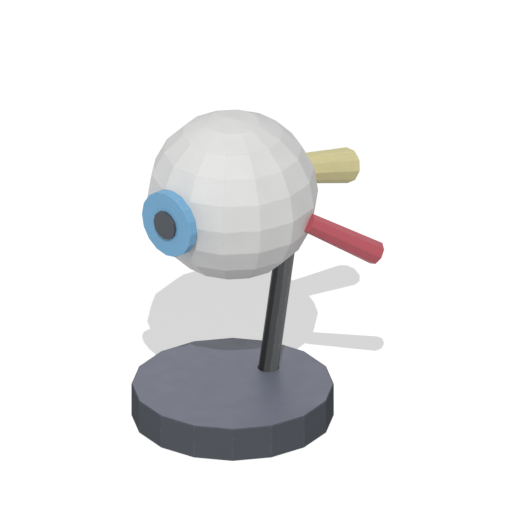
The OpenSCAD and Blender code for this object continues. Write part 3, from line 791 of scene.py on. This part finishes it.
def grown_piece(name: str, mesh: bpy.types.Mesh, steps: Sequence[tuple[bpy.types.NodeTree, dict]],
                finish: bpy.types.Material) -> bpy.types.Object:
    """Runs geometry trees on a mesh and keeps the result as a plain mesh.

    Args:
        name: the new piece's name.
        mesh: what the first tree is given.
        steps: each tree with its inputs, by their names.
        finish: the material.

    Returns:
        The new object, which isn't placed on a body yet.
    """
    piece = in_scene(name, mesh)
    for tree, values in steps:
        step = piece.modifiers.new(tree.name, "NODES")
        step.node_group = tree
        for item in tree.interface.items_tree:
            if item.in_out == "INPUT" and item.name in values:
                step[item.identifier] = values[item.name]
            if item.in_out == "INPUT" and item.name == "Finish":
                step[item.identifier] = finish
    flatten(piece)
    return piece


# ---- sub-assemblies ----


def dress(finish: bpy.types.Material, *nodes: str) -> None:
    """Gives CAD nodes that stay in view their material."""
    for node in nodes:
        for place_of_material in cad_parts[node].material_slots:
            place_of_material.material = finish
        LOG.info("%s dressed as %s", node, finish.name)


@dataclass
class Stand:
    """The sixteen-sided base, the leaning post and what holds them together."""

    base_edge: float = 0.7 * MM
    post_edge: float = 0.4 * MM

    def build(self) -> None:
        """Makes the base's moulding and the post, and dresses the rest."""
        grey = BASE_WALL.material()
        base = moulded_piece("base_moulding", "base_housing", "stand", "base_grey", grey,
                             SoftEdge(self.base_edge))
        self.polish_deck(base)
        moulded_piece("post_bar", "post", "stand", "post_black", POST_BLACK.material(),
                      SoftEdge(self.post_edge))
        dress(grey, "base_cover")
        dress(STUDDED_RUBBER.material(), "base_pad")
        dress(CAST_STEEL.material(), "ballast_plate")
        dress(ZINC_STEEL.material(), "cover_screws", "post_screw", "post_washer")
        dress(NYLON.material(), "thrust_washer")

    def polish_deck(self, base: bpy.types.Object) -> None:
        """Gives the base's level top a smoother finish and a lighter, bluer colour than the wall. The
        lighter colour is painted light, standing in for the top catching more light. The wall keeps the
        moulded texture.
        """
        base.data.materials.append(BASE_DECK_PAINTED_LIGHT.material())
        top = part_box("base_housing")[1][2]
        # The level top faces get the lighter deck colour, which is painted light.
        for face in base.data.polygons:
            if face.normal.z > 0.99 and face.center.z > top - self.base_edge:
                face.material_index = 1


@dataclass
class Eyeball:
    """The two shells with their linings, the swivel's bracket, the nerve and the muscle."""

    shell_edge: float = 0.5 * MM
    nerve_edge: float = 0.5 * MM
    muscle_edge: float = 0.5 * MM
    bracket_edge: float = 0.6 * MM

    def build(self) -> None:
        """Makes the mouldings and dresses the linings and the fittings."""
        white = WHITE_SHELL.material()
        moulded_piece("rear_shell", "sclera_rear", "eyeball", "white_shell", white,
                      SoftEdge(self.shell_edge))
        moulded_piece("front_shell", "sclera_front", "front_half", "white_shell", white,
                      SoftEdge(self.shell_edge))
        moulded_piece("bracket_moulding", "post_bracket", "eyeball", "white_shell", white,
                      SoftEdge(self.bracket_edge))
        moulded_piece("nerve_moulding", "optic_nerve", "eyeball", "nerve_yellow",
                      NERVE_YELLOW.material(), SoftEdge(self.nerve_edge))
        moulded_piece("muscle_moulding", "rectus_muscle", "eyeball", "muscle_red",
                      MUSCLE_RED.material(), SoftEdge(self.muscle_edge))
        dress(CHOROID_BROWN.material(), "choroid_rear", "choroid_front")
        dress(RETINA_ORANGE.material(), "retina_rear", "retina_front")
        dress(ZINC_STEEL.material(), "bracket_screws", "stop_screw", "nerve_dowel", "muscle_dowel",
              "locating_pegs")
        dress(BRIGHT_NICKEL.material(), "rear_magnets", "front_magnets")
        dress(NYLON.material(), "swivel_bush")


class Half(Enum):
    """A half of the eyeball, by the side of the split plane that it lies on."""

    REAR = 1
    FRONT = -1

    @property
    def body(self) -> str:
        """The CAD body that the half belongs to."""
        return "eyeball" if self is Half.REAR else "front_half"


class Vessel(Enum):
    """The two kinds of blood vessel, with the share of a full vessel's radius that each has."""

    ARTERY = 0.8
    VEIN = 1.0

    @property
    def finish(self) -> Plastic:
        """The finish of this kind."""
        return ARTERY_RED if self is Vessel.ARTERY else VEIN_RED

    @property
    def title(self) -> str:
        """The word for this kind in a piece's name."""
        return self.name.lower()


@dataclass
class Branch:
    """One vessel on the retina: unit directions from the eyeball's centre, and a radius at each."""

    kind: Vessel
    places: list[Vector] = field(default_factory=list)
    radii: list[float] = field(default_factory=list)


@dataclass
class RetinaRelief:
    """What is raised on the retina: the rim of the optic disc and the branching vessels."""

    seed: int = 11
    trunk_radius: float = 0.3 * MM
    twig_radius: float = 0.07 * MM
    step: float = 0.024
    disc_rim: float = 4.6 * MM
    disc_cup: float = 1.6 * MM
    disc_rise: float = 0.28 * MM
    trunk_rise: float = 0.1 * MM
    split_gap: float = 0.3 * MM
    front_limit: float = 0.31
    trunk_headings: tuple[float, ...] = (78.0, -74.0, 128.0, -132.0)
    trunk_aside: float = 7.0
    trunk_length: float = 1.9
    inner_heading: float = 15.0
    outer_heading: float = 158.0
    macula_margin: float = 0.13
    branches: list[Branch] = field(default_factory=list)

    def build(self) -> None:
        """Makes the disc, grows the vessels and makes them for each half."""
        surface = reaches("retina_rear")[0]
        self.add_disc(surface)
        self.grow_all()
        tubes = tube_tree()
        for kind in Vessel:
            finish = kind.finish.material()
            for half in Half:
                mesh = self.paths(kind, half, surface)
                piece = grown_piece(f"{kind.title}_{half.name.lower()}", mesh, [(tubes, {})], finish)
                fix_piece(piece, half.body, "retina_orange")

    def add_disc(self, surface: float) -> None:
        """Makes the optic disc as a shallow dish on the retina.

        Args:
            surface: the radius of the retina's inner surface.
        """
        profile = [(0.0, 0.06 * MM), (self.disc_cup * 0.7, 0.06 * MM), (self.disc_cup, 0.11 * MM),
                   (self.disc_cup * 1.4, self.disc_rise * 0.85), (self.disc_rim * 0.72, self.disc_rise),
                   (self.disc_rim * 0.9, self.disc_rise * 0.7), (self.disc_rim, 0.0),
                   (self.disc_rim, -self.disc_rise), (0.0, -self.disc_rise)]
        outline = [(r, math.sqrt((surface - rise) ** 2 - r * r)) for r, rise in profile]
        mesh = turned_mesh("optic_disc", outline, 96)
        turn = OPTIC_DISC.to_track_quat("Z", "Y").to_matrix().to_4x4()
        mesh.transform(Matrix.Translation(EYE_CENTRE) @ turn)
        mesh.materials.append(DISC_YELLOW.material())
        fix_piece(in_scene("optic_disc", mesh), "eyeball", "retina_orange")

    def grow_all(self) -> None:
        """Grows an artery and a vein from the disc into each quarter of the retina."""
        chance = random.Random(self.seed)
        across = Vector((1.0, 0.0, 0.0))
        above = OPTIC_DISC.cross(across).normalized() * -1.0
        for angle in self.trunk_headings:
            for kind, side in ((Vessel.ARTERY, -1.0), (Vessel.VEIN, 1.0)):
                start = math.radians(angle + side * self.trunk_aside)
                settled = self.inner_heading if abs(angle) < 90.0 else self.outer_heading
                final = math.copysign(math.radians(settled), angle)
                heading = across * math.cos(start) + above * math.sin(start)
                self.grow(kind, OPTIC_DISC.copy(), heading, self.trunk_radius * kind.value,
                          final - start, self.trunk_length, 0, chance)

    def grow(self, kind: Vessel, place_now: Vector, heading: Vector, radius: float, bend: float,
             length: float, order: int, chance: random.Random) -> None:
        """Grows one vessel over the sphere, and its side branches.

        Args:
            kind: artery or vein.
            place_now: where it starts, as a unit direction.
            heading: its unit tangent there.
            radius: its radius there.
            bend: how far it turns over its length, most of it early.
            length: the angle that it may cover.
            order: how many vessels it has branched from.
            chance: the source of its wandering.
        """
        branch = Branch(kind)
        self.branches.append(branch)
        covered, wander, next_fork = 0.0, 0.0, chance.uniform(0.16, 0.3)
        side = chance.choice((-1.0, 1.0))
        fade = 0.42 if order == 0 else 0.3
        while covered < length and place_now.y > -self.front_limit:
            now = max(self.twig_radius, radius * (1.0 - 0.75 * covered / length))
            branch.places.append(place_now.copy())
            branch.radii.append(now)
            wander = 0.7 * wander + chance.uniform(-0.055, 0.055)
            turn = bend * math.exp(-covered / fade) * self.step / fade + wander
            heading = Matrix.Rotation(-turn, 3, place_now) @ heading
            if order > 0 and place_now.angle(MACULA) < self.macula_margin:
                break
            if order < 3 and covered > next_fork and now > 1.25 * self.twig_radius:
                fork = side * math.radians(chance.uniform(28.0, 52.0))
                out = Matrix.Rotation(fork, 3, place_now) @ heading
                self.grow(kind, place_now.copy(), out, now * 0.72, -side * 0.5,
                          (length - covered) * 0.62, order + 1, chance)
                side = -side
                next_fork = covered + chance.uniform(0.1, 0.24)
            ahead = (place_now * math.cos(self.step) + heading * math.sin(self.step)).normalized()
            heading = (heading - ahead * heading.dot(ahead)).normalized()
            place_now = ahead
            covered += self.step

    def paths(self, kind: Vessel, half: Half, surface: float) -> bpy.types.Mesh:
        """Lays the branches of one kind that lie in one half as edges.

        Args:
            kind: artery or vein.
            half: the half of the eyeball.
            surface: the radius of the retina's inner surface.

        Returns:
            A mesh of edges with each point's tube radius.
        """
        corners: list[Vector] = []
        thickness: list[float] = []
        edges: list[tuple[int, int]] = []
        for branch in self.branches:
            if branch.kind is not kind:
                continue
            linked = False
            for spot, radius in zip(branch.places, branch.radii):
                rise = self.trunk_rise if spot.angle(OPTIC_DISC) < 0.11 else 0.0
                point = spot * (surface - rise)
                inside = point.y * half.value > self.split_gap
                if inside:
                    corners.append(point + EYE_CENTRE)
                    thickness.append(radius)
                    if linked:
                        edges.append((len(corners) - 2, len(corners) - 1))
                linked = inside
        mesh = bpy.data.meshes.new(f"{kind.title}_{half.name.lower()}")
        mesh.from_pydata(corners, edges, [])
        mesh.attributes.new(TUBE_RADIUS, "FLOAT", "POINT").data.foreach_set("value", thickness)
        return mesh


@dataclass
class CiliaryBody:
    """The ciliary body: a dark ring with a crown of rounded folds round the lens."""

    folds: int = 36
    fold_thickness: float = 0.95 * MM
    fold_depth: float = 2.2 * MM
    rear_step: float = 2.8 * MM

    def build(self) -> None:
        """Makes the ring with its folds."""
        rear, front = forward_reach("ciliary_ring")
        bore = radii("ciliary_ring")[0]
        sphere = reaches("ciliary_ring")[1]
        seat = radii("zonule_ring")[1] + 0.3 * MM
        floor = bore + self.fold_depth
        shelf = rear + self.rear_step
        ends = [math.acos(rear / sphere), math.acos((front - 0.5 * MM) / sphere)]
        rim = [(sphere * math.sin(a), sphere * math.cos(a))
               for a in (ends[0] + (ends[1] - ends[0]) * t / 9 for t in range(10))]
        outline = [(seat, rear), *rim, (floor + 0.7 * MM, front - 0.45 * MM), (floor, front - 1.4 * MM),
                   (floor, shelf), (seat, shelf)]
        mesh = turned_mesh("ciliary_body", outline)
        values = {
            "Count": self.folds, "Thickness": self.fold_thickness, "End Share": 0.35, "Unevenness": 0.06,
            "Seed": 3, "Start": (floor + 0.2 * MM, 0.0, shelf + 0.5 * MM),
            "Middle": (bore - 0.9 * MM, 0.0, (shelf + front) / 2 - 0.5 * MM),
            "End": (floor + 0.9 * MM, 0.0, front - 1.0 * MM)}
        piece = grown_piece("ciliary_body", mesh, [(rib_ring_tree(), values)], CILIARY_BROWN.material())
        piece.data.transform(GAZE)
        fix_piece(piece, "front_half", "choroid_brown", "ciliary_ring")


@dataclass
class LensGroup:
    """The clear lens in its ring of suspensory fibres."""

    fibres: int = 72
    fibre_radius: float = 0.13 * MM
    rim_width: float = 0.75 * MM
    web: float = 0.1 * MM

    def build(self) -> None:
        """Makes the ring of fibres and dresses the lens."""
        rear, front = forward_reach("zonule_ring")
        inner, outer = radii("zonule_ring")
        middle = (rear + front) / 2
        half = (front - rear) / 2
        bevel = 0.15 * MM
        outline = [
            (inner, rear + bevel), (inner + bevel, rear), (inner + self.rim_width, rear),
            (inner + self.rim_width, middle - self.web), (outer - self.rim_width, middle - self.web),
            (outer - self.rim_width, rear), (outer - bevel, rear), (outer, rear + bevel),
            (outer, front - bevel), (outer - bevel, front), (outer - self.rim_width, front),
            (outer - self.rim_width, middle + self.web), (inner + self.rim_width, middle + self.web),
            (inner + self.rim_width, front), (inner + bevel, front), (inner, front - bevel)]
        mesh = turned_mesh("zonule_fibres", outline)
        ribs = rib_ring_tree()
        steps = []
        for side, offset, seed in ((1.0, 0.0, 5), (-1.0, 0.5, 6)):
            lift = side * (half - self.fibre_radius)
            steps.append((ribs, {
                "Count": self.fibres, "Thickness": self.fibre_radius, "End Share": 0.8,
                "Unevenness": 0.18, "Offset": offset, "Seed": seed,
                "Start": (inner + self.rim_width * 0.6, 0.0, middle + lift),
                "Middle": ((inner + outer) / 2, 0.0, middle + lift * 0.75),
                "End": (outer - self.rim_width * 0.6, 0.0, middle + lift * 0.4)}))
        piece = grown_piece("zonule_fibres", mesh, steps, FROSTED_FIBRES.material())
        piece.data.transform(GAZE)
        fix_piece(piece, "lens", "zonule_white", "zonule_ring")
        dress(LENS_CLEAR.material(), "lens")


@dataclass
class Vitreous:
    """The clear vitreous body."""

    def build(self) -> None:
        """Dresses the vitreous body."""
        dress(VITREOUS_CLEAR.material(), "vitreous_body")


@dataclass
class Iris:
    """The iris disc with the pupil."""

    iris_edge: float = 0.4 * MM
    pupil_edge: float = 0.3 * MM

    def build(self) -> None:
        """Makes the iris disc and the pupil button."""
        moulded_piece("iris_moulding", "iris_ring", "iris", "iris_blue", IRIS_BLUE.material(),
                      SoftEdge(self.iris_edge))
        moulded_piece("pupil_button", "pupil_disc", "iris", "pupil_grey", PUPIL_GREY.material(),
                      SoftEdge(self.pupil_edge))


# ---- studio ----


def direction(azimuth: float, elevation: float) -> Vector:
    """The unit vector towards an azimuth, in degrees from -Y towards +X, and an elevation."""
    a, e = math.radians(azimuth), math.radians(elevation)
    return Vector((math.sin(a) * math.cos(e), -math.cos(a) * math.cos(e), math.sin(e)))


def seen_directly(g: Graph) -> Socket:
    """1 for what the camera sees, also in gloss and through glass, and 0 for light on the object."""
    path = g.add("ShaderNodeLightPath").outputs
    mirrored = g.math("MAXIMUM", path["Is Glossy Ray"], path["Is Transmission Ray"])
    return g.math("MAXIMUM", path["Is Camera Ray"], mirrored)


@dataclass(frozen=True)
class Lamp:
    """A distant lamp.

    It stands at an azimuth, in degrees from -Y towards +X, and an elevation. It passes by the pieces
    that it skips, or lights one piece alone, without shadows.
    """

    name: str
    azimuth: float
    elevation: float
    strength: float
    width: float
    skips: tuple[str, ...] = ()
    only: str = ""


@dataclass
class Studio:
    """The camera, the lamps, the pale floor and the white surround."""

    azimuth: float = 45.0
    elevation: float = 27.0
    view_width: float = 0.3568
    right_of_origin: float = 0.0163
    above_origin: float = 0.1113
    camera_distance: float = 1.5
    lamps: tuple[Lamp, ...] = (
        Lamp("key", 45.0, 48.75, 1.88, 0.3, skips=("post_bar",)),
        Lamp("sky", 0.0, 90.0, 0.9, 170.0, skips=("floor", "post_bar")),
        Lamp("front_fill", -30.0, 0.0, 0.6, 60.0, skips=("floor", "post_bar")),
        Lamp("post_side", 88.0, 10.0, 3.4, 20.0, only="post_bar"))
    surround: float = 0.12
    floor_half: float = 20.0
    floor_shade: float = 0.57
    floor_gain: float = 0.85
    floor_bounce: float = 0.45

    def build(self) -> None:
        """Makes the whole studio."""
        self.add_camera()
        self.add_floor()
        for lamp in self.lamps:
            self.add_lamp(lamp)
        self.add_world()
        bpy.context.scene.view_settings.view_transform = "Standard"

    def add_camera(self) -> None:
        """Makes the parallel camera of the photograph's view."""
        data = bpy.data.cameras.new("camera")
        data.type = "ORTHO"
        data.ortho_scale = self.view_width
        data.clip_end = 10.0
        camera = in_scene("camera", data)
        back = direction(self.azimuth, self.elevation)
        turn = (-back).to_track_quat("-Z", "Y")
        aim = turn @ Vector((self.right_of_origin, self.above_origin, 0.0))
        camera.rotation_mode = "QUATERNION"
        camera.rotation_quaternion = turn
        camera.location = aim + back * self.camera_distance
        bpy.context.scene.camera = camera

    def add_lamp(self, lamp: Lamp) -> None:
        """Adds a distant lamp."""
        light = bpy.data.lights.new(lamp.name, "SUN")
        light.energy = lamp.strength
        light.angle = math.radians(lamp.width)
        holder = in_scene(lamp.name, light)
        holder.rotation_mode = "QUATERNION"
        holder.rotation_quaternion = direction(lamp.azimuth, lamp.elevation).to_track_quat("Z", "Y")
        light.use_shadow = not lamp.only
        linked = bpy.data.collections.new(f"{lamp.name}_links")
        for name in lamp.skips or (lamp.only,):
            linked.objects.link(bpy.data.objects[name])
        for entry in linked.collection_objects:
            entry.light_linking.link_state = "INCLUDE" if lamp.only else "EXCLUDE"
        holder.light_linking.receiver_collection = linked

    def add_floor(self) -> None:
        """Makes the white floor, which takes the key lamp's shadow and isn't seen from below."""
        half = self.floor_half
        mesh = bpy.data.meshes.new("floor")
        corners = [(-half, -half, 0), (half, -half, 0), (half, half, 0), (-half, half, 0)]
        mesh.from_pydata(corners, [], [(0, 1, 2, 3)])
        floor = in_scene("floor", mesh)
        material = bpy.data.materials.new("floor")
        material.use_nodes = True
        g = Graph(material.node_tree)
        material.node_tree.nodes.remove(material.node_tree.nodes["Principled BSDF"])
        lit = g.add("ShaderNodeBsdfDiffuse", {"Color": rgba((self.floor_gain,) * 3)})
        glow = g.add("ShaderNodeEmission", {"Strength": self.floor_shade})
        seen = g.add("ShaderNodeAddShader", {0: lit.outputs[0], 1: glow.outputs[0]})
        bounce = g.add("ShaderNodeEmission", {"Strength": self.floor_bounce})
        solid = g.add("ShaderNodeMixShader", {
            0: seen_directly(g), 1: bounce.outputs[0], 2: seen.outputs[0]})
        behind = g.add("ShaderNodeNewGeometry").outputs["Backfacing"]
        clear = g.add("ShaderNodeBsdfTransparent")
        shadow = g.add("ShaderNodeLightPath").outputs["Is Shadow Ray"]
        gone = g.math("MAXIMUM", shadow, behind)
        whole = g.add("ShaderNodeMixShader", {0: gone, 1: solid.outputs[0], 2: clear.outputs[0]})
        output = material.node_tree.nodes["Material Output"]
        g.feed(output, {"Surface": whole.outputs[0]})
        floor.data.materials.append(material)

    def add_world(self) -> None:
        """Makes the surround: soft light for the object, white for the camera, gloss and glass."""
        world = bpy.data.worlds.new("surround")
        world.use_nodes = True
        bpy.context.scene.world = world
        g = Graph(world.node_tree)
        back = world.node_tree.nodes["Background"]
        strength = g.remap(seen_directly(g), 0.0, 1.0, self.surround, 1.0)
        g.feed(back, {"Color": (1, 1, 1, 1), "Strength": strength})


def write_sizes() -> None:
    """Brings the view layer up to date."""
    bpy.context.view_layer.update()


def main() -> None:
    """Builds every sub-assembly in order, then the studio."""
    logging.basicConfig(level=logging.INFO, format="%(message)s")
    assemblies = (Stand(), Eyeball(), RetinaRelief(), CiliaryBody(), LensGroup(), Vitreous(), Iris(),
                  Studio())
    for part in assemblies:
        part.build()
        LOG.info("%s built", type(part).__name__)
    write_sizes()


if __name__ == "__main__":
    main()
